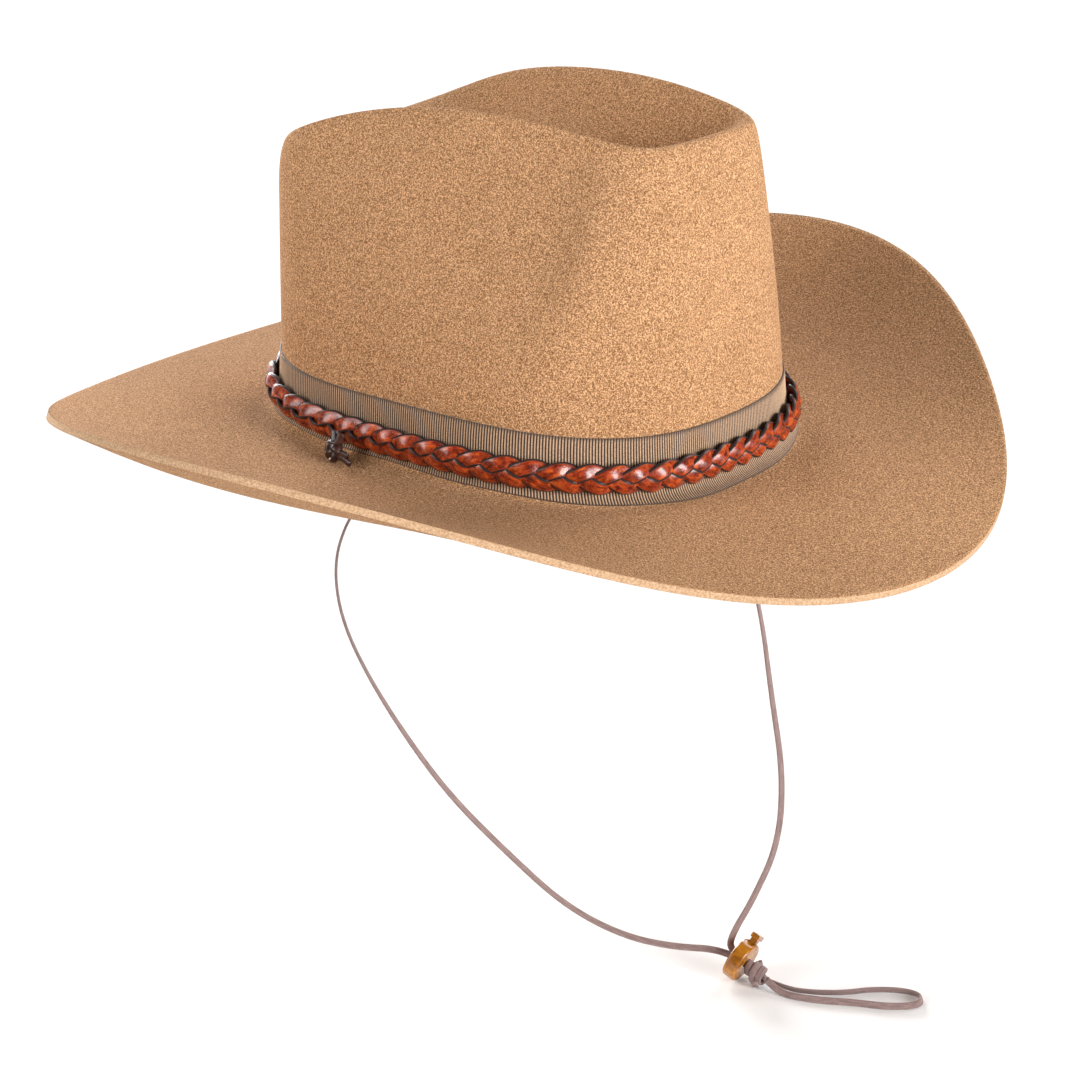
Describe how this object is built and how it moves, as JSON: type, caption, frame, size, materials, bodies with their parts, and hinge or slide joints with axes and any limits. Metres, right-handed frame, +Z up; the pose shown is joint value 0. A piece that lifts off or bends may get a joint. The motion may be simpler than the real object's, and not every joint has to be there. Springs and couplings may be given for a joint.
{
  "type": "cowboy hat",
  "caption": "Felt cowboy hat with a creased, pinched crown, curled brim, ribbed ribbon, plaited leather band and a chin lace with a sprung cord lock.",
  "frame": {"origin": "centre of the head opening, on the line where the crown meets the brim", "axes": "+Z up, -Y towards the front of the hat, +X towards the wearer's left"},
  "size_m": [0.3866, 0.3758, 0.3789],
  "materials": {
    "felt": "short-napped tan wool felt, slightly darker at the cut edge",
    "ribbon": "taupe ribbed ribbon with fine upright ribs",
    "sweatband_leather": "smooth tan leather with light grain",
    "reed_plastic": "matte brown plastic cord",
    "bow_satin": "brown satin",
    "lining_satin": "champagne satin",
    "braid_leather": "glossy red-brown leather with dark burnished edges",
    "lace_leather": "matte mauve-brown suede lace",
    "lock_plastic": "glossy amber plastic",
    "spring_steel": "bright spring wire"
  },
  "bodies": {
    "hat": {"felt_body": "felt", "ribbon_band": "ribbon", "ribbon_join": "ribbon", "sweatband": "sweatband_leather", "sweatband_reed": "reed_plastic", "sweatband_bow": "bow_satin", "lining_side": "lining_satin", "lining_tip": "lining_satin", "lace_stop_right": "lace_leather", "lace_stop_left": "lace_leather"},
    "hat_band": {"braid_strand_1": "braid_leather", "braid_strand_2": "braid_leather", "braid_strand_3": "braid_leather", "braid_knot": "braid_leather", "braid_tail": "braid_leather"},
    "chin_strap": {"chin_lace_right": "lace_leather", "chin_lace_left": "lace_leather", "chin_knot": "lace_leather", "chin_loop": "lace_leather", "lock_body": "lock_plastic", "lock_spring": "spring_steel"},
    "lock_button": {"lock_plunger": "lock_plastic"}
  },
  "joints": [
    {"name": "hat_band_lift", "type": "slide", "parent": "hat", "child": "hat_band", "axis": [0, 0, 1], "range_m": [0, 0.14]},
    {"name": "chin_strap_swing", "type": "hinge", "parent": "hat", "child": "chin_strap", "pos_m": [0, 0.006, -0.004], "axis": [1, 0, 0], "range_deg": [-45, 45]},
    {"name": "lock_button_press", "type": "slide", "parent": "chin_strap", "child": "lock_button", "axis": [-0.622, 0.2542, -0.7406], "range_m": [0, 0.0015], "stiffness_N_per_m": 400, "springref_m": -0.004, "deforming": ["lock_spring"]}
  ]
}
